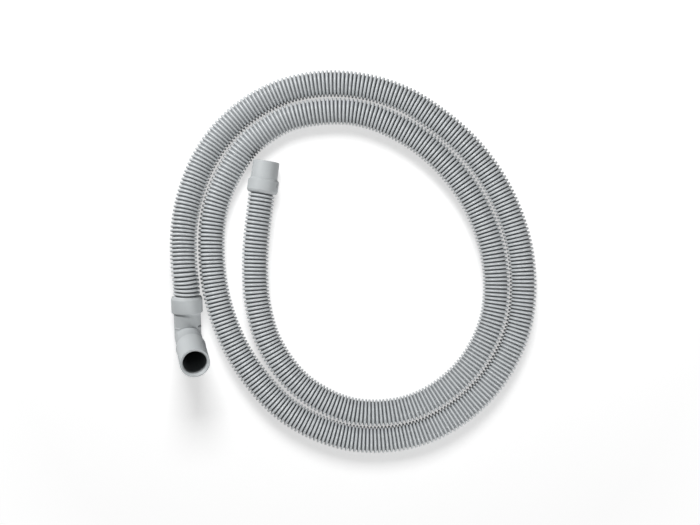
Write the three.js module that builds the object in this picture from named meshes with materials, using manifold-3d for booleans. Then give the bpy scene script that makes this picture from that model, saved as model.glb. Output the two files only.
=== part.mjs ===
// Washing machine drain hose: one corrugated tube laid in a flat two-turn coil, with a straight
// cuff on its inner end and an elbow on its outer end that turns its outlet up.
// Millimetres, +Z up. The origin is on the floor, under the middle of the coil.

import * as THREE from "three";
import { mergeVertices } from "three/addons/utils/BufferGeometryUtils.js";
import Module from "manifold-3d";

const wasm = await Module();
wasm.setup();

// Hose
const HOSE_DIAMETER = 26.1; // over the crests of the ribs
const HOSE_WALL = 3.25; // from the crests in to the bore, as deep as the ribs and their wall
const HOSE_SIDES = 12;
const HOSE_STEPS = 80;

// Collars, which hold the ends of the hose
const FIT_GAP = 0.3; // hose to collar, all round and at the end
const COLLAR_WALL = 1.65; // round the hose
const COLLAR_DIAMETER = HOSE_DIAMETER + 2 * (FIT_GAP + COLLAR_WALL);
const COLLAR_EDGE = 2; // bevel at both ends of a collar
const SOCKET_DEPTH = 10;
const ELBOW_COLLAR_LENGTH = 17;
const CUFF_COLLAR_LENGTH = 13.8;

// Both fittings push over a spigot of this diameter
const SPIGOT_BORE = 22;

// Straight cuff
const CUFF_WALL = 2;
const CUFF_TUBE_LENGTH = 16.6; // from the collar to the mouth
const CUFF_PLACE = [-89.1, 66.6]; // hose end of its collar, seen from above
const CUFF_HEADING = -8; // degrees, anticlockwise from +Y

// Elbow
const ELBOW_WALL = 1.9;
const ELBOW_BACK = 22.2; // from the bend to the collar
const ELBOW_BEND = 82; // degrees that the outlet turns away from the line of the hose
const LEG_LENGTH = 70; // from the bend to the mouth
const SLEEVE_START = 30.6; // from the bend to the step up to the sleeve
const SLEEVE_STEP = 1.2; // length of that step
const SLEEVE_WALL = 2.75;
const ELBOW_PLACE = [-161.1, -72.4]; // the bend, seen from above
const ELBOW_HEADING = 0.6; // degrees, from +Y to the hose, anticlockwise
const ELBOW_PITCH = 9; // degrees that the hose rises as it leaves the elbow
const ELBOW_ROLL = 13.7; // degrees that the outlet leans to +X

// Coil
const COIL_MIDDLE = [0, -0.5]; // seen from above
// Route of the hose between its two ends: angle round that middle in degrees, distance
// from it, and how far the hose is lifted off the floor. It runs clockwise.
const ROUTE = [
  [184, 163.2, 9.1],
  [180, 163.7, 9.3],
  [168.75, 167.1, 7.7],
  [157.5, 171.2, 4.7],
  [146.25, 175.6, 2.2],
  [135, 178.9, 0.7],
  [123.75, 180.0, 0.1],
  [112.5, 179.1, 0],
  [101.25, 176.1, 0],
  [90, 171.9, 0],
  [78.75, 167.5, 0],
  [67.5, 162.9, 0],
  [45, 157.1, 0],
  [22.5, 157.3, 0],
  [0, 162.9, 0],
  [-22.5, 171.8, 0],
  [-45, 177.3, 0],
  [-67.5, 177.8, 0],
  [-90, 171.1, 0],
  [-112.5, 159.0, 0],
  [-135, 145.3, 0],
  [-157.5, 138.0, 0],
  [-180, 137.8, 0],
  [-202.5, 144.9, 0],
  [-225, 152.5, 0],
  [-236.25, 153.5, 0],
  [-247.5, 152.6, 0],
  [-270, 145.2, 0],
  [-292.5, 135.8, 0],
  [-315, 130.4, 0],
  [-337.5, 130.7, 0],
  [-360, 136.4, 0],
  [-382.5, 145.2, 0],
  [-405, 150.9, 0],
  [-427.5, 151.4, 0],
  [-450, 144.5, 0],
  [-472.5, 130.7, 0],
  [-495, 114.6, 0],
  [-517.5, 101.6, 0],
  [-541, 95.9, 0.5],
  [-556, 98.1, 1.5],
];
const END_LEAD = 10; // straight length of hose before each collar

// Meshing
const ROUND = 32; // sides of the two fittings
const OVERCUT = 1; // how far a cutting solid passes an open end
const WELD = 1e-4; // points nearer than this are one

const hoseGrey = new THREE.MeshStandardMaterial({ color: 0xb4bac0, roughness: 0.35, metalness: 0 });
const cuffGrey = new THREE.MeshStandardMaterial({ color: 0xb0b4b6, roughness: 0.55, metalness: 0 });

// A closed mesh made a solid, and back.
function solid(geometry) {
  const bare = geometry.clone();
  bare.deleteAttribute("normal");
  bare.deleteAttribute("uv");
  const merged = mergeVertices(bare, WELD);
  return new wasm.Manifold(new wasm.Mesh({
    numProp: 3,
    vertProperties: new Float32Array(merged.attributes.position.array),
    triVerts: new Uint32Array(merged.index.array),
  }));
}

function geometryOf(shape) {
  const mesh = shape.getMesh();
  const geometry = new THREE.BufferGeometry();
  geometry.setAttribute("position", new THREE.BufferAttribute(mesh.vertProperties, 3));
  geometry.setIndex(new THREE.BufferAttribute(mesh.triVerts, 1));
  geometry.computeVertexNormals();
  return geometry;
}

// A round solid about the Y axis from [radius, height] pairs, lowest first.
function turned(profile) {
  const bottom = [0, profile[0][1]];
  const top = [0, profile[profile.length - 1][1]];
  const points = [bottom, ...profile, top].map(([radius, height]) => new THREE.Vector2(radius, height));
  return solid(new THREE.LatheGeometry(points, ROUND));
}

// The outside of a collar from its tube side, at height `start`, to its hose side.
function collarProfile(start, length, tubeRadius) {
  const radius = COLLAR_DIAMETER / 2;
  return [
    [tubeRadius, start],
    [radius, start + COLLAR_EDGE],
    [radius, start + length - COLLAR_EDGE],
    [radius - COLLAR_EDGE / 2, start + length],
  ];
}

// The socket that the hose sits in, open past the end of the collar.
function socket(collarEnd) {
  const radius = (HOSE_DIAMETER / 2 + FIT_GAP) / Math.cos(Math.PI / ROUND);
  return turned([[radius, collarEnd - SOCKET_DEPTH], [radius, collarEnd + OVERCUT]]);
}

// The straight cuff stands on +Y: its mouth is at height 0 and its collar points to -Y.
function straightCuff() {
  const bore = SPIGOT_BORE / 2;
  const tube = bore + CUFF_WALL;
  const collarStart = CUFF_TUBE_LENGTH;
  const collarEnd = collarStart + CUFF_COLLAR_LENGTH;
  const outside = turned([[tube, 0], ...collarProfile(collarStart, CUFF_COLLAR_LENGTH, tube)]);
  const inside = turned([[bore, -OVERCUT], [bore, collarEnd]]);
  const cuff = outside.subtract(inside).subtract(socket(collarEnd));
  const mesh = new THREE.Mesh(geometryOf(cuff), cuffGrey);
  mesh.name = "straight_cuff";
  return mesh;
}

// The elbow's bend is at its origin: the hose side runs along +Y, and the outlet leaves it in
// the YZ plane.
function elbowCuff() {
  const bore = SPIGOT_BORE / 2;
  const tube = bore + ELBOW_WALL;
  const sleeve = bore + SLEEVE_WALL;
  const collarEnd = ELBOW_BACK + ELBOW_COLLAR_LENGTH;
  const tilt = 180 - ELBOW_BEND; // degrees from +Y to the outlet
  const back = turned([[tube, 0], ...collarProfile(ELBOW_BACK, ELBOW_COLLAR_LENGTH, tube)]);
  const leg = turned([
    [tube, 0],
    [tube, SLEEVE_START],
    [sleeve, SLEEVE_START + SLEEVE_STEP],
    [sleeve, LEG_LENGTH],
  ]).rotate([tilt, 0, 0]);
  const heel = solid(new THREE.SphereGeometry(tube, ROUND, ROUND / 2));
  const backBore = turned([[bore, 0], [bore, collarEnd]]);
  const legBore = turned([[bore, 0], [bore, LEG_LENGTH + OVERCUT]]).rotate([tilt, 0, 0]);
  const heelBore = solid(new THREE.SphereGeometry(bore, ROUND, ROUND / 2));
  const elbow = back.add(leg).add(heel)
    .subtract(backBore).subtract(legBore).subtract(heelBore)
    .subtract(socket(collarEnd));
  const mesh = new THREE.Mesh(geometryOf(elbow), cuffGrey);
  mesh.name = "elbow_cuff";
  return mesh;
}

const cuff = straightCuff();
const cuffHeading = THREE.MathUtils.degToRad(CUFF_HEADING);
const cuffLength = CUFF_TUBE_LENGTH + CUFF_COLLAR_LENGTH;
// The cuff's own +Y runs from its mouth to the hose, so it is turned half round.
cuff.rotation.set(0, 0, cuffHeading + Math.PI);
cuff.position.set(
  CUFF_PLACE[0] - cuffLength * Math.sin(cuffHeading),
  CUFF_PLACE[1] + cuffLength * Math.cos(cuffHeading),
  COLLAR_DIAMETER / 2,
);

const elbow = elbowCuff();
elbow.rotation.set(
  THREE.MathUtils.degToRad(ELBOW_PITCH),
  THREE.MathUtils.degToRad(ELBOW_ROLL),
  THREE.MathUtils.degToRad(ELBOW_HEADING),
  "ZXY",
);
elbow.position.set(ELBOW_PLACE[0], ELBOW_PLACE[1], SPIGOT_BORE / 2 + ELBOW_WALL);

// A point on a fitting's axis, at a height along its own +Y.
function onAxis(fitting, height) {
  fitting.updateMatrixWorld(true);
  return new THREE.Vector3(0, height, 0).applyMatrix4(fitting.matrixWorld);
}

// Three points in line at each end keep the hose straight where it enters a collar.
function leadPoints(fitting, collarEnd) {
  const seat = collarEnd - SOCKET_DEPTH + FIT_GAP;
  const mouth = collarEnd + END_LEAD;
  return [seat, (seat + mouth) / 2, mouth].map((height) => onAxis(fitting, height));
}

function hoseRoute() {
  const middle = ROUTE.map(([angle, radius, lift]) => {
    const turn = THREE.MathUtils.degToRad(angle);
    return new THREE.Vector3(
      COIL_MIDDLE[0] + radius * Math.cos(turn),
      COIL_MIDDLE[1] + radius * Math.sin(turn),
      HOSE_DIAMETER / 2 + lift,
    );
  });
  const outer = leadPoints(elbow, ELBOW_BACK + ELBOW_COLLAR_LENGTH);
  const inner = leadPoints(cuff, cuffLength).reverse();
  return new THREE.CatmullRomCurve3([...outer, ...middle, ...inner], false, "centripetal");
}

function ringShape(outerRadius, innerRadius) {
  const corner = (radius, index) => {
    const turn = (2 * Math.PI * index) / HOSE_SIDES;
    return new THREE.Vector2(radius * Math.cos(turn), radius * Math.sin(turn));
  };
  const around = [...Array(HOSE_SIDES).keys()];
  const shape = new THREE.Shape(around.map((index) => corner(outerRadius, index)));
  shape.holes.push(new THREE.Path(around.map((index) => corner(innerRadius, index)).reverse()));
  return shape;
}

const hose = new THREE.Mesh(
  new THREE.ExtrudeGeometry(ringShape(HOSE_DIAMETER / 2, HOSE_DIAMETER / 2 - HOSE_WALL), {
    steps: HOSE_STEPS,
    extrudePath: hoseRoute(),
  }),
  hoseGrey,
);
hose.name = "drain_hose";

const part = new THREE.Group();
part.add(hose, cuff, elbow);

export default part;
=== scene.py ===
"""A washing machine drain hose, laid in a flat coil and seen from straight above.

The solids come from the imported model. Each is replaced by a finer piece in the same place: a
ribbed tube for the hose, and two moulded fittings with rounded edges. Lengths are in metres and
angles in degrees. +Z is up, +Y is the top of the picture.
"""

import math

import bmesh
import bpy
import numpy as np
from bpy.props import FloatProperty, FloatVectorProperty, IntProperty, PointerProperty
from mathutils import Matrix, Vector


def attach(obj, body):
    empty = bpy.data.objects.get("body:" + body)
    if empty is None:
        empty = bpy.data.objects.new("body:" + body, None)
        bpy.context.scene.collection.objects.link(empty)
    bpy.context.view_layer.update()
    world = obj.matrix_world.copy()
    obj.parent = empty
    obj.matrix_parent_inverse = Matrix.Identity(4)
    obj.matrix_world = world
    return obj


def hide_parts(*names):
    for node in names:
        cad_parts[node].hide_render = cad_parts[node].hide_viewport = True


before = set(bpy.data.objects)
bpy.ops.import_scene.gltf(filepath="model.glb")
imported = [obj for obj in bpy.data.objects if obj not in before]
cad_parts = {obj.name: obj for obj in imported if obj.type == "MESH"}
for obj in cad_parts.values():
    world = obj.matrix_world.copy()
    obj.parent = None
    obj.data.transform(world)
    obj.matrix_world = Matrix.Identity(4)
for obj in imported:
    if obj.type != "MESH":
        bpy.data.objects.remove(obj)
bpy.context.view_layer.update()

bl_info = {
    "name": "Washing machine drain hose",
    "version": (1, 0, 0),
    "blender": (4, 5, 0),
    "location": "3D View > Sidebar > Drain hose",
    "description": "Makes a coiled drain hose with its two cuffs, and a plain stage for it",
    "category": "Add Mesh",
}

MM = 0.001

# Route of the hose between its two ends: angle round the coil's middle, distance from it, and
# how far the hose is lifted off the floor. It runs clockwise from the elbow.
COIL_MIDDLE = (0.0, -0.0005)
ROUTE = (
    (184, 0.1632, 0.0091),
    (180, 0.1637, 0.0093),
    (168.75, 0.1671, 0.0077),
    (157.5, 0.1712, 0.0047),
    (146.25, 0.1756, 0.0022),
    (135, 0.1789, 0.0007),
    (123.75, 0.1800, 0.0001),
    (112.5, 0.1791, 0),
    (101.25, 0.1761, 0),
    (90, 0.1719, 0),
    (78.75, 0.1675, 0),
    (67.5, 0.1629, 0),
    (45, 0.1571, 0),
    (22.5, 0.1573, 0),
    (0, 0.1629, 0),
    (-22.5, 0.1718, 0),
    (-45, 0.1773, 0),
    (-67.5, 0.1778, 0),
    (-90, 0.1711, 0),
    (-112.5, 0.1590, 0),
    (-135, 0.1453, 0),
    (-157.5, 0.1380, 0),
    (-180, 0.1378, 0),
    (-202.5, 0.1449, 0),
    (-225, 0.1525, 0),
    (-236.25, 0.1535, 0),
    (-247.5, 0.1526, 0),
    (-270, 0.1452, 0),
    (-292.5, 0.1358, 0),
    (-315, 0.1304, 0),
    (-337.5, 0.1307, 0),
    (-360, 0.1364, 0),
    (-382.5, 0.1452, 0),
    (-405, 0.1509, 0),
    (-427.5, 0.1514, 0),
    (-450, 0.1445, 0),
    (-472.5, 0.1307, 0),
    (-495, 0.1146, 0),
    (-517.5, 0.1016, 0),
    (-541, 0.0959, 0.0005),
    (-556, 0.0981, 0.0015),
)
END_LEAD = 0.010  # straight length of hose before each collar
SEGMENT_SAMPLES = 48  # points worked out between two points of the route

# Mesh of the hose
RIB_PHASES = (0, 0.12, 0.19, 0.26, 0.5, 0.74, 0.81, 0.88)  # rings on a rib, from its groove on
RIB_HALF_WIDTH = 0.31  # of the pitch, half way down
RIB_STEEPNESS = 8
RIB_SIDE_DEPTH = 0.88  # how much of the groove's depth the steep sides take
RIB_CROWN = 0.48  # how much the crests and the grooves are curved
HOSE_SIDES = 22
INNER_SPACING = 0.012  # between the rings of the smooth inner wall

# Collars, which hold the ends of the hose
SOCKET_DEPTH = 0.010
FIT_GAP = 0.0003
COLLAR_EDGE = 0.002

# Straight cuff: the hose end of its collar seen from above, and its heading from +Y
CUFF_PLACE = (-0.0891, 0.0666)
CUFF_HEADING = -8
CUFF_TUBE_LENGTH = 0.0166
CUFF_COLLAR_LENGTH = 0.0138
CUFF_LENGTH = CUFF_TUBE_LENGTH + CUFF_COLLAR_LENGTH
CUFF_TAPER = 0.0002  # how much thinner the tube is at its mouth, on the radius

# Elbow: the bend seen from above, and how its hose side is turned from +Y
ELBOW_PLACE = (-0.1611, -0.0724)
ELBOW_HEADING = 0.6
ELBOW_PITCH = 9
ELBOW_ROLL = 13.7
ELBOW_BEND = 82  # how far the outlet turns away from the line of the hose
ELBOW_BACK = 0.0222  # from the bend to the collar
ELBOW_COLLAR_LENGTH = 0.017
ELBOW_LENGTH = ELBOW_BACK + ELBOW_COLLAR_LENGTH
LEG_LENGTH = 0.070  # from the bend to the outlet's mouth
SLEEVE_START = 0.0306  # from the bend
SLEEVE_STEP = 0.0004
SLEEVE_LIP = 0.0004  # how much wider the sleeve is at its step, on the radius
SLEEVE_LIP_LENGTH = 0.006
LEAD_IN_WIDTH = 0.0013  # how much wider the outlet's bore is at its mouth, on the radius
LEAD_IN_LENGTH = 0.0016
BEND_RING = 0.0093  # moulding ring round the hose side, from the bend
BEND_RING_HEIGHT = 0.0005
BEND_RING_WIDTH = 0.0010

# Small recesses: where they start and end along the fitting, and the angles round it
NOTCH_DEPTH = 0.0006
SHARP = 0.00005  # width of an upright step in an outline
CUFF_NOTCH_PLACES = (CUFF_TUBE_LENGTH + 0.0035, CUFF_TUBE_LENGTH + 0.0072)  # from the mouth
CUFF_NOTCH_ANGLES = (157, 162)
ELBOW_SLOT_PLACES = (0.0102, 0.0115)  # from the bend
ELBOW_SLOT_ANGLES = (5, 42)

# Painted shade on the fittings: deep in the bores, in the recesses and under the sleeve's step
BORE_SHADE = 0.009  # from a mouth in to where the bore's painted shade is full
BORE_MARGIN = 0.0005  # a ring counts as the bore's wall up to this far outside its radius
# painted shade in the straight cuff's notch
CUFF_NOTCH_SHADE = 0.8
RIM_SHADE = 0.3  # painted shade under the step of the sleeve
RIM_PLACES = (SLEEVE_START - 0.0020, SLEEVE_START + 0.0007)  # from the bend

# Mesh of the fittings
CORNER_STEPS = 5  # points on a rounded corner of an outline
BEND_STEPS = 28
SMOOTH_ANGLE = 40  # edges sharper than this stay sharp
WELD = 1e-6  # points nearer than this are one

# Stage
CAMERA_PLACE = (-0.0039, -0.001)
FLOOR_SIZE = 60.0
FLOOR_DROP = 0.0002  # the floor lies this far under the lowest rib
FLOOR_WHITE = (0.9, 0.9, 0.9, 1)
WHITE = (1, 1, 1, 1)
# The floor's glow, and the distances from the origin between which it grows
FLOOR_GLOW = {"From Min": 0.35, "From Max": 1.2, "To Min": 0.6, "To Max": 1.0}
LAMP_DISTANCE = 1.6
# Azimuth, elevation and size of each lamp; azimuth 0 is +X and 90 is +Y
FLOOR_LAMP = (93, 52, 0.62)
LEFT_LAMP = (132, 35, 0.4)
RIGHT_LAMP = (305, 35, 0.6)

NOISE_SPREAD = {"From Min": 0.3, "From Max": 0.7}  # where nearly all noise values lie


class HoseSettings(bpy.types.PropertyGroup):
    """Sizes and colour of the ribbed hose."""

    crest_diameter: FloatProperty(
        name="Crest diameter",
        description="Diameter over the crests of the ribs",
        default=0.0261,
        unit="LENGTH",
    )
    groove_depth: FloatProperty(
        name="Groove depth",
        description="From the crests of the ribs down to the bottom of the grooves",
        default=0.0028,
        unit="LENGTH",
    )
    wall: FloatProperty(
        name="Wall",
        description="Thickness of the wall under a groove",
        default=0.00045,
        unit="LENGTH",
    )
    rib_pitch: FloatProperty(
        name="Rib pitch",
        description="Distance from rib to rib along the hose",
        default=0.00373,
        unit="LENGTH",
    )
    colour: FloatVectorProperty(
        name="Colour",
        description="Colour of the hose's plastic",
        default=(0.48, 0.501, 0.512),
        size=3,
        subtype="COLOR",
    )


class FittingSettings(bpy.types.PropertyGroup):
    """Sizes and colour of the straight cuff and the elbow."""

    bore: FloatProperty(
        name="Bore",
        description="Inner diameter of both fittings",
        default=0.022,
        unit="LENGTH",
    )
    collar_diameter: FloatProperty(
        name="Collar diameter",
        description="Outer diameter of the collars that hold the hose",
        default=0.030,
        unit="LENGTH",
    )
    cuff_diameter: FloatProperty(
        name="Cuff diameter",
        description="Outer diameter of the straight cuff's tube",
        default=0.026,
        unit="LENGTH",
    )
    elbow_diameter: FloatProperty(
        name="Elbow diameter",
        description="Outer diameter of the elbow's tube",
        default=0.0258,
        unit="LENGTH",
    )
    sleeve_diameter: FloatProperty(
        name="Sleeve diameter",
        description="Outer diameter of the sleeve on the elbow's outlet",
        default=0.0275,
        unit="LENGTH",
    )
    sides: IntProperty(
        name="Sides",
        description="Number of facets round a fitting",
        default=112,
        min=24,
    )
    colour: FloatVectorProperty(
        name="Colour",
        description="Colour of the fittings' plastic",
        default=(0.41, 0.43, 0.438),
        size=3,
        subtype="COLOR",
    )


class StageSettings(bpy.types.PropertyGroup):
    """The camera, the lamps and the floor."""

    camera_height: FloatProperty(
        name="Camera height",
        description="Height of the camera over the floor",
        default=1.0,
        unit="LENGTH",
    )
    lens: FloatProperty(
        name="Lens",
        description="Focal length of the camera, in millimetres",
        default=52.3,
        unit="CAMERA",
    )
    floor_power: FloatProperty(
        name="Floor lamp",
        description="Power of the lamp that lights the floor and casts its soft shadow",
        default=15,
        unit="POWER",
    )
    left_power: FloatProperty(
        name="Left lamp",
        description="Power of the lamp that lights the object from the upper left",
        default=30,
        unit="POWER",
    )
    right_power: FloatProperty(
        name="Right lamp",
        description="Power of the lamp that lights the object from the lower right",
        default=20.5,
        unit="POWER",
    )
    sky: FloatProperty(
        name="Sky",
        description="Strength of the even light from all round",
        default=0.08,
    )
    floor_colour: FloatVectorProperty(
        name="Floor colour",
        description="Colour that the floor throws back on the object",
        default=(0.5, 0.5, 0.5),
        size=3,
        subtype="COLOR",
    )


class DrainHoseSettings(bpy.types.PropertyGroup):
    """All settings of the model."""

    hose: PointerProperty(type=HoseSettings)
    fittings: PointerProperty(type=FittingSettings)
    stage: PointerProperty(type=StageSettings)


def along(points):
    """Distance of each point from the first, along the line through them."""
    steps = np.linalg.norm(np.diff(points, axis=0), axis=1)
    return np.concatenate(([0.0], np.cumsum(steps)))


def angles_round(sides):
    """Even steps of angle once round, in radians."""
    return np.linspace(0, 2 * np.pi, sides, endpoint=False)


def unit(vectors):
    """The vectors, each over its own length."""
    return vectors / np.linalg.norm(vectors, axis=-1, keepdims=True)


def turned_frame(pitch, roll, heading):
    """Matrix that rolls about Y, then pitches about X, then heads about Z."""
    p, r, h = np.radians((pitch, roll, heading))
    about_x = np.array([[1, 0, 0], [0, np.cos(p), -np.sin(p)], [0, np.sin(p), np.cos(p)]])
    about_y = np.array([[np.cos(r), 0, np.sin(r)], [0, 1, 0], [-np.sin(r), 0, np.cos(r)]])
    about_z = np.array([[np.cos(h), -np.sin(h), 0], [np.sin(h), np.cos(h), 0], [0, 0, 1]])
    return about_z @ about_x @ about_y


def cuff_frame(fittings):
    """(matrix, origin) of the straight cuff, half turned: +Y runs from its mouth to the hose."""
    matrix = turned_frame(0, 0, CUFF_HEADING + 180)
    end = np.array([*CUFF_PLACE, fittings.collar_diameter / 2])
    return matrix, end - matrix @ [0, CUFF_LENGTH, 0]


def elbow_frame(fittings):
    """(matrix, origin) of the elbow: the origin is its bend and +Y runs to the hose."""
    matrix = turned_frame(ELBOW_PITCH, ELBOW_ROLL, ELBOW_HEADING)
    return matrix, np.array([*ELBOW_PLACE, fittings.elbow_diameter / 2])


def lead(place, collar_end):
    """Three points on a fitting's axis, from the seat of the hose to END_LEAD past the collar."""
    matrix, origin = place
    seat = collar_end - SOCKET_DEPTH + FIT_GAP
    heights = np.linspace(seat, collar_end + END_LEAD, 3)
    return origin + heights[:, None] * matrix[:, 1]


def hose_points(hose, fittings):
    """The chosen points that the hose passes through, from the elbow to the straight cuff.

    A point of the route at angle a, distance d and lift l is
    (middle + d cos a, middle + d sin a, crest radius + l).
    """
    angle, distance, lift = np.array(ROUTE, float).T
    angle = np.radians(angle)
    middle = np.stack(
        (
            COIL_MIDDLE[0] + distance * np.cos(angle),
            COIL_MIDDLE[1] + distance * np.sin(angle),
            hose.crest_diameter / 2 + lift,
        ),
        axis=1,
    )
    outer = lead(elbow_frame(fittings), ELBOW_LENGTH)
    inner = lead(cuff_frame(fittings), CUFF_LENGTH)[::-1]
    return np.concatenate((outer, middle, inner))


def smooth_line(points):
    """A centripetal Catmull-Rom curve through the points, as many short steps.

    Between points p1 and p2, with p0 before and p3 after, and d the square root of each step's
    length, the slopes are t1 = ((p1-p0)/d0 - (p2-p0)/(d0+d1) + (p2-p1)/d1) d1 and
    t2 = ((p2-p1)/d1 - (p3-p1)/(d1+d2) + (p3-p2)/d2) d1, and the curve is the cubic with these
    ends and slopes.
    """
    first = 2 * points[0] - points[1]
    last = 2 * points[-1] - points[-2]
    padded = np.concatenate(([first], points, [last]))
    root = np.sqrt(np.linalg.norm(np.diff(padded, axis=0), axis=1))[:, None]
    p0, p1, p2, p3 = padded[:-3], padded[1:-2], padded[2:-1], padded[3:]
    d0, d1, d2 = root[:-2], root[1:-1], root[2:]
    t1 = ((p1 - p0) / d0 - (p2 - p0) / (d0 + d1) + (p2 - p1) / d1) * d1
    t2 = ((p2 - p1) / d1 - (p3 - p1) / (d1 + d2) + (p3 - p2) / d2) * d1
    t = np.linspace(0, 1, SEGMENT_SAMPLES, endpoint=False)[None, :, None]
    p1, p2, t1, t2 = (x[:, None, :] for x in (p1, p2, t1, t2))
    curve = p1 + t1 * t + (3 * (p2 - p1) - 2 * t1 - t2) * t**2 + (2 * (p1 - p2) + t1 + t2) * t**3
    return np.concatenate((curve.reshape(-1, 3), points[-1:]))


def at_distances(distances, reached, vectors):
    """Vectors at these distances along a line, in between the given ones.

    The given vectors lie at the distances in `reached`.
    """
    return np.stack([np.interp(distances, reached, axis) for axis in vectors.T], axis=1)


def tube_rings(line, distances, radii):
    """Rings round a line: centre + radius (cos a side + sin a up).

    The side is level and square to the line, and up is square to both.
    """
    reached = along(line)
    centre = at_distances(distances, reached, line)
    ahead = unit(at_distances(distances, reached, np.gradient(line, reached, axis=0)))
    side = unit(np.cross(ahead, (0, 0, 1)))
    up = np.cross(side, ahead)
    angle = angles_round(HOSE_SIDES)[None, :, None]
    spoke = np.cos(angle) * side[:, None, :] + np.sin(angle) * up[:, None, :]
    return centre[:, None, :] + radii[:, None, None] * spoke


def rib_depth(phase):
    """How deep the surface lies, from 0 on a crest to nearly 1 in a groove.

    A rib is one phase long and its crest is at half a phase. With u the distance from there, w
    half the width of a rib and n its steepness, the formula is 0.88 u^n / (u^n + w^n) + 0.48 u^2:
    slightly rounded crests, steep sides and nearly flat grooves.
    """
    u = np.abs(phase % 1 - 0.5)
    side = u**RIB_STEEPNESS / (u**RIB_STEEPNESS + RIB_HALF_WIDTH**RIB_STEEPNESS)
    return RIB_SIDE_DEPTH * side + RIB_CROWN * u**2


def hose_wall(hose, line):
    """(rings of the hose's wall, how deep in a groove each is).

    The radius outside is the crests' radius less the groove's depth times rib_depth. The bore is
    plain, runs back to the start and counts as deep, so it takes the grooves' painted shade.
    """
    length = along(line)[-1]
    ribs = round(length / hose.rib_pitch)
    phase = np.append((np.arange(ribs)[:, None] + RIB_PHASES).ravel(), ribs)
    depth = rib_depth(phase)
    crest = hose.crest_diameter / 2
    outside = tube_rings(line, phase * length / ribs, crest - hose.groove_depth * depth)
    back = np.linspace(length, 0, round(length / INNER_SPACING))
    bore = np.full(len(back), crest - hose.groove_depth - hose.wall)
    inside = tube_rings(line, back, bore)
    return np.concatenate((outside, inside)), np.concatenate((depth, np.ones(len(back))))


def rounded(corners):
    """A closed outline from rows (place, radius, reach), with each corner c replaced by a curve.

    The curve is (1-t)^2 a + 2 t (1-t) c + t^2 b, from a point a before the corner to a point b
    after it, both one reach away, or half of the side where that is shorter.
    """
    corners, reach = np.split(np.array(corners, float), [2], axis=1)
    before = np.roll(corners, 1, axis=0) - corners
    after = np.roll(corners, -1, axis=0) - corners
    reach_a = np.minimum(reach, np.linalg.norm(before, axis=1, keepdims=True) / 2)
    reach_b = np.minimum(reach, np.linalg.norm(after, axis=1, keepdims=True) / 2)
    a = (corners + unit(before) * reach_a)[:, None, :]
    b = (corners + unit(after) * reach_b)[:, None, :]
    c = corners[:, None, :]
    t = np.linspace(0, 1, CORNER_STEPS)[None, :, None]
    return ((1 - t) ** 2 * a + 2 * t * (1 - t) * c + t**2 * b).reshape(-1, 2)


def cuff_outline(hose, fittings):
    """Closed outline of the straight cuff's wall as (place, radius), the place from its mouth."""
    tube = fittings.cuff_diameter / 2
    collar = fittings.collar_diameter / 2
    bore = fittings.bore / 2
    socket = hose.crest_diameter / 2 + FIT_GAP
    seat = CUFF_LENGTH - SOCKET_DEPTH
    notch_start, notch_end = CUFF_NOTCH_PLACES
    return rounded(
        (
            (0, tube - CUFF_TAPER, 0.5 * MM),
            (CUFF_TUBE_LENGTH, tube, 0.1 * MM),
            (CUFF_TUBE_LENGTH + COLLAR_EDGE, collar, 0.2 * MM),
            (notch_start, collar, 0),
            (notch_start + SHARP, collar, 0),
            (notch_end, collar, 0),
            (notch_end + SHARP, collar, 0),
            (CUFF_LENGTH - COLLAR_EDGE, collar, 0.25 * MM),
            (CUFF_LENGTH, collar - COLLAR_EDGE / 2, 0.2 * MM),
            (CUFF_LENGTH, socket, 0.2 * MM),
            (seat, socket, 0.1 * MM),
            (seat, bore, 0.1 * MM),
            (BORE_SHADE, bore, 0.1 * MM),
            (0, bore, 0.6 * MM),
        )
    )


def elbow_outline(hose, fittings):
    """Closed outline of the elbow's wall as (place, radius).

    The place is positive from the bend towards the hose, and negative towards the mouth.
    """
    tube = fittings.elbow_diameter / 2
    sleeve = fittings.sleeve_diameter / 2
    collar = fittings.collar_diameter / 2
    bore = fittings.bore / 2
    socket = hose.crest_diameter / 2 + FIT_GAP
    seat = ELBOW_LENGTH - SOCKET_DEPTH
    slot_start, slot_end = ELBOW_SLOT_PLACES
    return rounded(
        (
            (-LEG_LENGTH, sleeve, 0.5 * MM),
            (-SLEEVE_START - SLEEVE_LIP_LENGTH, sleeve, 1.5 * MM),
            (-SLEEVE_START - SLEEVE_LIP_LENGTH / 4, sleeve + SLEEVE_LIP, 0.5 * MM),
            (-SLEEVE_START - SLEEVE_STEP, sleeve + SLEEVE_LIP, 0.2 * MM),
            (-SLEEVE_START, tube, 0.2 * MM),
            (BEND_RING - BEND_RING_WIDTH / 2, tube, 0.1 * MM),
            (BEND_RING, tube + BEND_RING_HEIGHT, 0.2 * MM),
            (BEND_RING + BEND_RING_WIDTH / 2, tube, 0.1 * MM),
            (slot_start, tube, 0),
            (slot_start + SHARP, tube, 0),
            (slot_end, tube, 0),
            (slot_end + SHARP, tube, 0),
            (ELBOW_BACK, tube, 0.2 * MM),
            (ELBOW_BACK + COLLAR_EDGE, collar, 0.2 * MM),
            (ELBOW_LENGTH - COLLAR_EDGE, collar, 0.25 * MM),
            (ELBOW_LENGTH, collar - COLLAR_EDGE / 2, 0.3 * MM),
            (ELBOW_LENGTH, socket, 0.2 * MM),
            (seat, socket, 0.1 * MM),
            (seat, bore, 0.1 * MM),
            (-LEG_LENGTH + BORE_SHADE, bore, 0.1 * MM),
            (-LEG_LENGTH + LEAD_IN_LENGTH, bore, 0.5 * MM),
            (-LEG_LENGTH, bore + LEAD_IN_WIDTH, 0.4 * MM),
        )
    )


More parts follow.
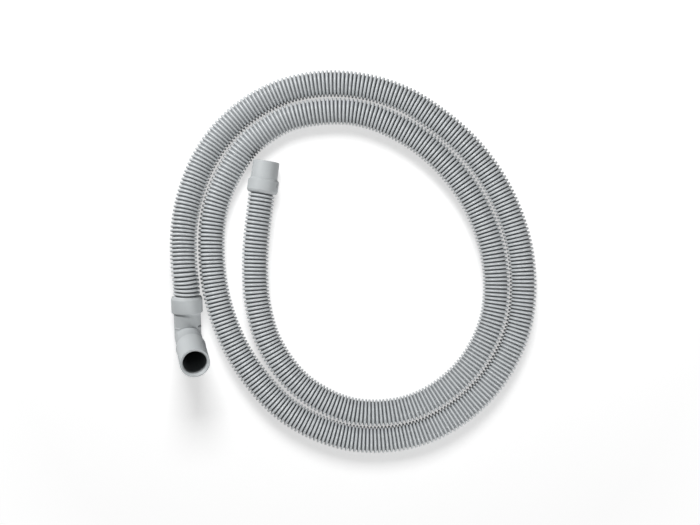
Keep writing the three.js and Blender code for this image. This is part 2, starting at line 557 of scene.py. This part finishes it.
def elbow_rings(outline, bore, tube):
    """(place, radius, side, turn) of each ring of the elbow, as columns.

    The rings run out on the hose side and back in its bore, round the bend inside, out in the
    outlet's bore and back on its outside, and round the bend outside. The place is counted from
    the bend, the side is 1 on the outlet and -1 elsewhere, and the turn grows round the bend.
    """
    bend = math.radians(ELBOW_BEND)
    fan = np.linspace(0, bend, BEND_STEPS)
    on_hose_side = outline[:, 0] > 0
    after_it = np.flatnonzero(on_hose_side)[-1] + 1
    outlet = np.roll(outline, -after_it, axis=0)
    outlet = outlet[outlet[:, 0] < 0]
    hose_side = outline[on_hose_side]
    stretches = (
        (hose_side[:, 0], hose_side[:, 1], -1, 0),
        (0, bore, -1, fan),
        (-outlet[:, 0], outlet[:, 1], 1, bend),
        (0, tube, -1, fan[::-1]),
    )
    rows = [np.stack(np.broadcast_arrays(*stretch), axis=1) for stretch in stretches]
    return np.concatenate(rows).T[:, :, None]


def turned_surface(place, radius, angle):
    """An outline turned about +Y: (r cos a, place, r sin a)."""
    place = np.broadcast_to(place, (len(place), len(angle)))
    return np.stack((radius * np.cos(angle), place, radius * np.sin(angle)), axis=-1)


def bent_surface(place, radius, side, turn, angle):
    """Two tubes that meet in a crease on the inside of the bend and a ball on its outside.

    With b the bend, c = r max(sin a, 0) tan(b / 2) is where the crease lies on the line at
    angle a. A ring that is turned by q has the direction d = (0, -cos q, sin q) and the
    spoke n = (0, sin q, cos q), and its points are r cos a X + r sin a n, moved by
    max(place, c) along -d on the hose side (q = 0) and along d on the outlet (q = b).
    Between them q runs from 0 to b on the outer half, and the inner half stays on the crease.
    """
    inner_half = np.maximum(np.sin(angle), 0)
    crease = radius * inner_half * math.tan(math.radians(ELBOW_BEND) / 2)
    turn = np.where((place == 0) & (inner_half > 0), 0, turn)
    shift = side * np.maximum(place, crease)
    return np.stack(
        (
            radius * np.cos(angle),
            radius * np.sin(angle) * np.sin(turn) - shift * np.cos(turn),
            radius * np.sin(angle) * np.cos(turn) + shift * np.sin(turn),
        ),
        axis=-1,
    )


def window(values, low, high):
    """1 where a value lies between low and high, and 0 elsewhere."""
    return ((values > low) & (values < high)).astype(float)


def recess(place, angle, places, angles):
    """1 in a recess between two places along a fitting and two angles round it."""
    start, end = places
    half_step = SHARP / 2
    lengthwise = window(place, start + half_step, end + half_step)
    return lengthwise * window(np.degrees(angle), *angles)


def deep_in_bore(from_mouth, radius, bore):
    """Whether a ring is on the wall of the bore and not at its mouth: the place of the bore's
    painted shade.
    """
    return (radius < bore + BORE_MARGIN) & (from_mouth > BORE_SHADE / 2)


def ring_object(name, rings, material, **marks):
    """An object whose surface joins each ring to the next, and the last to the first.

    The faces point outwards if the rings of the outside run clockwise as seen from ahead. Each
    mark is a value for each ring or each point, kept as an attribute of that name.
    """
    count, sides, _ = rings.shape
    ring = np.arange(count)[:, None]
    step = np.arange(sides)[None, :]
    next_ring = (ring + 1) % count
    next_step = (step + 1) % sides
    faces = np.stack(
        (
            ring * sides + step,
            next_ring * sides + step,
            next_ring * sides + next_step,
            ring * sides + next_step,
        ),
        axis=-1,
    ).reshape(-1, 4)
    mesh = bpy.data.meshes.new(name)
    mesh.from_pydata(rings.reshape(-1, 3).tolist(), [], faces.tolist())
    mesh.materials.append(material)
    for mark, values in marks.items():
        attribute = mesh.attributes.new(mark, "FLOAT", "POINT")
        attribute.data.foreach_set("value", np.broadcast_to(values, (count, sides)).ravel())
    made = bpy.data.objects.new(name, mesh)
    bpy.context.scene.collection.objects.link(made)
    return made


def close_and_shade(made):
    """Merges doubled points, turns all faces outwards and shades all but sharp edges smooth."""
    work = bmesh.new()
    work.from_mesh(made.data)
    bmesh.ops.remove_doubles(work, verts=work.verts, dist=WELD)
    bmesh.ops.recalc_face_normals(work, faces=work.faces)
    work.to_mesh(made.data)
    work.free()
    made.data.shade_smooth()
    made.data.set_sharp_from_angle(angle=math.radians(SMOOTH_ANGLE))


def node(tree, kind, inputs=None, **settings):
    """Adds a node, sets its properties and inputs, and links the inputs that are sockets."""
    made = tree.nodes.new(kind)
    for key, value in settings.items():
        setattr(made, key, value)
    for key, value in (inputs or {}).items():
        if isinstance(value, bpy.types.NodeSocket):
            tree.links.new(value, made.inputs[key])
        else:
            made.inputs[key].default_value = value
    return made


def new_material(name):
    """(material, empty node tree, output node)."""
    material = bpy.data.materials.new(name)
    material.use_nodes = True
    tree = material.node_tree
    tree.nodes.clear()
    return material, tree, tree.nodes.new("ShaderNodeOutputMaterial")


def mixed(tree, blend, factor, first, second):
    """Two colours mixed as far as the factor says."""
    inputs = {"Factor": factor, "A": first, "B": second}
    mix = node(tree, "ShaderNodeMix", inputs, data_type="RGBA", blend_type=blend)
    return mix.outputs["Result"]


def plastic(name, colour, cloudiness, clouds, grain, bump, roughness, specular, mark, painted_shade_tint):
    """A plastic whose colour and gloss vary in clouds, with a fine grain.

    The mark is an attribute of the mesh that says where shade is painted. Where it is 1, the
    colour is multiplied by the shade tint.
    """
    material, tree, output = new_material(name)
    dark = np.array(colour) * (1 - cloudiness)
    light = np.array(colour) * (1 + cloudiness)
    place = node(tree, "ShaderNodeTexCoord").outputs["Object"]
    cloud = node(tree, "ShaderNodeTexNoise", {"Vector": place, **clouds}).outputs["Fac"]
    height = node(tree, "ShaderNodeTexNoise", {"Vector": place, **grain}).outputs["Fac"]
    # how much painted shade falls here, from the mesh's mark
    depth = node(tree, "ShaderNodeAttribute", attribute_name=mark).outputs["Fac"]
    paint = mixed(tree, "MIX", cloud, (*dark, 1), (*light, 1))
    low, high = roughness
    gloss = node(
        tree,
        "ShaderNodeMapRange",
        {"Value": cloud, **NOISE_SPREAD, "To Min": low, "To Max": high},
    )
    bumped = node(tree, "ShaderNodeBump", {"Height": height, **bump})
    shader = node(
        tree,
        "ShaderNodeBsdfPrincipled",
        {
            "Base Color": mixed(tree, "MULTIPLY", depth, paint, painted_shade_tint),
            "Roughness": gloss.outputs["Result"],
            "Specular IOR Level": specular,
            "Normal": bumped.outputs["Normal"],
        },
    )
    tree.links.new(shader.outputs["BSDF"], output.inputs["Surface"])
    return material


def hose_plastic(colour):
    """Glossy blow-moulded plastic, with painted shade down in the grooves and in the bore."""
    return plastic(
        "hose_plastic",
        colour,
        cloudiness=0.06,
        clouds={"Scale": 55, "Detail": 4},
        grain={"Scale": 900, "Detail": 2},
        bump={"Strength": 0.04, "Distance": 0.0002},
        roughness=(0.30, 0.38),
        specular=0.35,
        mark="groove",
        # painted shade in the grooves and the bore
        painted_shade_tint=(0.38, 0.385, 0.395, 1),
    )


def cuff_plastic(colour):
    """Satin moulded plastic with faint flow marks, with painted shade deep in its bores, in its
    recesses and under the sleeve's step.
    """
    return plastic(
        "cuff_plastic",
        colour,
        cloudiness=0.05,
        clouds={"Scale": 70, "Detail": 5, "Distortion": 0.8},
        grain={"Scale": 1600, "Detail": 3},
        bump={"Strength": 0.2, "Distance": 0.0001},
        roughness=(0.50, 0.60),
        specular=0.3,
        mark="bore_depth",
        # painted shade in the bores, the recesses and under the sleeve's step
        painted_shade_tint=(0.34, 0.34, 0.35, 1),
    )


def larger(tree, first, second):
    """The larger of two values."""
    return node(tree, "ShaderNodeMath", {0: first, 1: second}, operation="MAXIMUM").outputs[0]


def seen_or_mirrored(tree):
    """1 for rays from the camera, mirrored rays and rays through glass, and 0 for the rest."""
    rays = node(tree, "ShaderNodeLightPath").outputs
    seen = larger(tree, rays["Is Camera Ray"], rays["Is Glossy Ray"])
    return larger(tree, seen, rays["Is Transmission Ray"])


def floor_paint(colour):
    """Matt floor that is seen as white with a glow that grows far off, and keeps the shadow.

    Light that bounces off it to the object meets the plain colour instead.
    """
    material, tree, output = new_material("floor_paint")
    matt = node(tree, "ShaderNodeBsdfDiffuse", {"Color": (*colour, 1)})
    white = node(tree, "ShaderNodeBsdfDiffuse", {"Color": FLOOR_WHITE})
    place = node(tree, "ShaderNodeTexCoord").outputs["Object"]
    away = node(tree, "ShaderNodeVectorMath", {0: place}, operation="LENGTH").outputs["Value"]
    glow = node(tree, "ShaderNodeMapRange", {"Value": away, **FLOOR_GLOW}).outputs["Result"]
    glowing = node(tree, "ShaderNodeEmission", {"Color": WHITE, "Strength": glow})
    both = node(tree, "ShaderNodeAddShader", {0: white.outputs[0], 1: glowing.outputs[0]})
    mix = node(
        tree,
        "ShaderNodeMixShader",
        {0: seen_or_mirrored(tree), 1: matt.outputs[0], 2: both.outputs[0]},
    )
    tree.links.new(mix.outputs[0], output.inputs["Surface"])
    return material


def add_floor(colour):
    """A large square floor just under the hose."""
    half = FLOOR_SIZE / 2
    corners = ((-half, -half), (half, -half), (half, half), (-half, half))
    mesh = bpy.data.meshes.new("floor")
    mesh.from_pydata([(x, y, -FLOOR_DROP) for x, y in corners], [], [(0, 1, 2, 3)])
    mesh.materials.append(floor_paint(colour))
    floor = bpy.data.objects.new("floor", mesh)
    bpy.context.scene.collection.objects.link(floor)
    return floor


def add_sky(strength):
    """Even light from all round, which is seen as plain white."""
    world = bpy.data.worlds.new("sky")
    world.use_nodes = True
    tree = world.node_tree
    tree.nodes.clear()
    even = node(tree, "ShaderNodeBackground", {"Color": WHITE, "Strength": strength})
    white = node(tree, "ShaderNodeBackground", {"Color": WHITE, "Strength": 1.0})
    mix = node(
        tree,
        "ShaderNodeMixShader",
        {0: seen_or_mirrored(tree), 1: even.outputs[0], 2: white.outputs[0]},
    )
    output = tree.nodes.new("ShaderNodeOutputWorld")
    tree.links.new(mix.outputs[0], output.inputs["Surface"])
    bpy.context.scene.world = world


def add_lamp(name, place, power, lit):
    """A square lamp that faces the middle of the coil and lights what the collection says."""
    azimuth, elevation, size = place
    data = bpy.data.lights.new(name, "AREA")
    data.size = size
    data.energy = power
    a, e = math.radians(azimuth), math.radians(elevation)
    made = bpy.data.objects.new(name, data)
    made.location = LAMP_DISTANCE * Vector(
        (math.cos(e) * math.cos(a), math.cos(e) * math.sin(a), math.sin(e))
    )
    made.rotation_euler = made.location.to_track_quat("Z", "Y").to_euler()
    made.light_linking.receiver_collection = lit
    bpy.context.scene.collection.objects.link(made)


def add_lamps(stage, floor):
    """One lamp for the floor alone, and two at the sides for all but the floor."""
    only_floor = bpy.data.collections.new("lit_by_floor_lamp")
    only_floor.objects.link(floor)
    off_floor = bpy.data.collections.new("not_lit_by_side_lamps")
    off_floor.objects.link(floor)
    off_floor.collection_objects[0].light_linking.link_state = "EXCLUDE"
    add_lamp("floor_lamp", FLOOR_LAMP, stage.floor_power, only_floor)
    add_lamp("left_lamp", LEFT_LAMP, stage.left_power, off_floor)
    add_lamp("right_lamp", RIGHT_LAMP, stage.right_power, off_floor)


def add_camera(stage):
    """The camera, which looks straight down."""
    data = bpy.data.cameras.new("camera")
    data.lens = stage.lens
    camera = bpy.data.objects.new("camera", data)
    camera.location = (*CAMERA_PLACE, stage.camera_height)
    bpy.context.scene.collection.objects.link(camera)
    bpy.context.scene.camera = camera


def belong(made, cad_node):
    """The piece rides on the one body and stands for a CAD node, which it hides."""
    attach(made, "root")
    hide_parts(cad_node)


def add_fitting(name, cad_node, points, place, colour, dark):
    """Adds a fitting from the points of its own frame, with its painted shade marks."""
    matrix, origin = place
    material = bpy.data.materials.get("cuff_plastic") or cuff_plastic(colour)
    made = ring_object(name, points @ matrix.T + origin, material, bore_depth=dark)
    close_and_shade(made)
    belong(made, cad_node)


class DRAINHOSE_OT_stage(bpy.types.Operator):
    """Makes the floor, the lamps, the even light and the camera"""

    bl_idname = "drain_hose.stage"
    bl_label = "Make the stage"

    def execute(self, context):
        stage = context.scene.drain_hose.stage
        context.scene.view_settings.view_transform = "Standard"
        floor = add_floor(stage.floor_colour)
        add_sky(stage.sky)
        add_lamps(stage, floor)
        add_camera(stage)
        return {"FINISHED"}


class DRAINHOSE_OT_straight_cuff(bpy.types.Operator):
    """Makes the straight cuff on the inner end of the hose"""

    bl_idname = "drain_hose.straight_cuff"
    bl_label = "Make the straight cuff"

    def execute(self, context):
        settings = context.scene.drain_hose
        fittings = settings.fittings
        outline = cuff_outline(settings.hose, fittings)
        place, radius = outline.T[:, :, None]
        angle = angles_round(fittings.sides)
        in_bore = deep_in_bore(place, radius, fittings.bore / 2)
        on_outside = radius > fittings.cuff_diameter / 2
        in_notch = recess(place, angle, CUFF_NOTCH_PLACES, CUFF_NOTCH_ANGLES) * on_outside
        add_fitting(
            "straight_cuff_shell",
            "straight_cuff",
            turned_surface(place, radius - NOTCH_DEPTH * in_notch, angle),
            cuff_frame(fittings),
            fittings.colour,
            # painted shade deep in the bore and in the notch
            np.maximum(in_bore, CUFF_NOTCH_SHADE * in_notch),
        )
        return {"FINISHED"}


class DRAINHOSE_OT_elbow(bpy.types.Operator):
    """Makes the elbow on the outer end of the hose"""

    bl_idname = "drain_hose.elbow"
    bl_label = "Make the elbow"

    def execute(self, context):
        settings = context.scene.drain_hose
        fittings = settings.fittings
        bore = fittings.bore / 2
        outline = elbow_outline(settings.hose, fittings)
        place, radius, side, turn = elbow_rings(outline, bore, fittings.elbow_diameter / 2)
        angle = angles_round(fittings.sides)
        to_mouth = place * side
        in_bore = deep_in_bore(LEG_LENGTH - to_mouth, radius, bore)
        # band of painted shade under the sleeve's step
        under_rim = window(to_mouth, *RIM_PLACES)
        in_slot = recess(-to_mouth, angle, ELBOW_SLOT_PLACES, ELBOW_SLOT_ANGLES) * (radius > bore)
        add_fitting(
            "elbow_cuff_shell",
            "elbow_cuff",
            bent_surface(place, radius - NOTCH_DEPTH * in_slot, side, turn, angle),
            elbow_frame(fittings),
            fittings.colour,
            # painted shade deep in the bore, in the slot and under the sleeve's step
            np.maximum(np.maximum(in_bore, in_slot), RIM_SHADE * under_rim),
        )
        return {"FINISHED"}


class DRAINHOSE_OT_hose(bpy.types.Operator):
    """Makes the ribbed hose along its route"""

    bl_idname = "drain_hose.hose"
    bl_label = "Make the hose"

    def execute(self, context):
        settings = context.scene.drain_hose
        hose = settings.hose
        line = smooth_line(hose_points(hose, settings.fittings))
        rings, depth = hose_wall(hose, line)
        material = hose_plastic(hose.colour)
        # the groove mark says where the hose's shade is painted: its grooves and its bore
        made = ring_object("ribbed_hose", rings, material, groove=depth[:, None])
        made.data.shade_smooth()
        belong(made, "drain_hose")
        return {"FINISHED"}


class DRAINHOSE_PT_panel(bpy.types.Panel):
    """The settings, and the buttons that make the stage and each piece"""

    bl_idname = "DRAINHOSE_PT_panel"
    bl_label = "Drain hose"
    bl_space_type = "VIEW_3D"
    bl_region_type = "UI"
    bl_category = "Drain hose"

    def draw(self, context):
        settings = context.scene.drain_hose
        for group in (settings.hose, settings.fittings, settings.stage):
            box = self.layout.box()
            for name in group.bl_rna.properties.keys():
                if name not in {"rna_type", "name"}:
                    box.prop(group, name)
        for operator in OPERATORS:
            self.layout.operator(operator.bl_idname)


OPERATORS = (
    DRAINHOSE_OT_stage,
    DRAINHOSE_OT_straight_cuff,
    DRAINHOSE_OT_elbow,
    DRAINHOSE_OT_hose,
)
CLASSES = (
    HoseSettings,
    FittingSettings,
    StageSettings,
    DrainHoseSettings,
    *OPERATORS,
    DRAINHOSE_PT_panel,
)


def register():
    """Adds the classes and the settings."""
    for each in CLASSES:
        bpy.utils.register_class(each)
    bpy.types.Scene.drain_hose = PointerProperty(type=DrainHoseSettings)


def unregister():
    """Takes the settings and the classes away."""
    del bpy.types.Scene.drain_hose
    for each in reversed(CLASSES):
        bpy.utils.unregister_class(each)


def main():
    """Makes the whole scene."""
    register()
    bpy.ops.drain_hose.stage()
    bpy.ops.drain_hose.straight_cuff()
    bpy.ops.drain_hose.elbow()
    bpy.ops.drain_hose.hose()


if __name__ == "__main__":
    main()
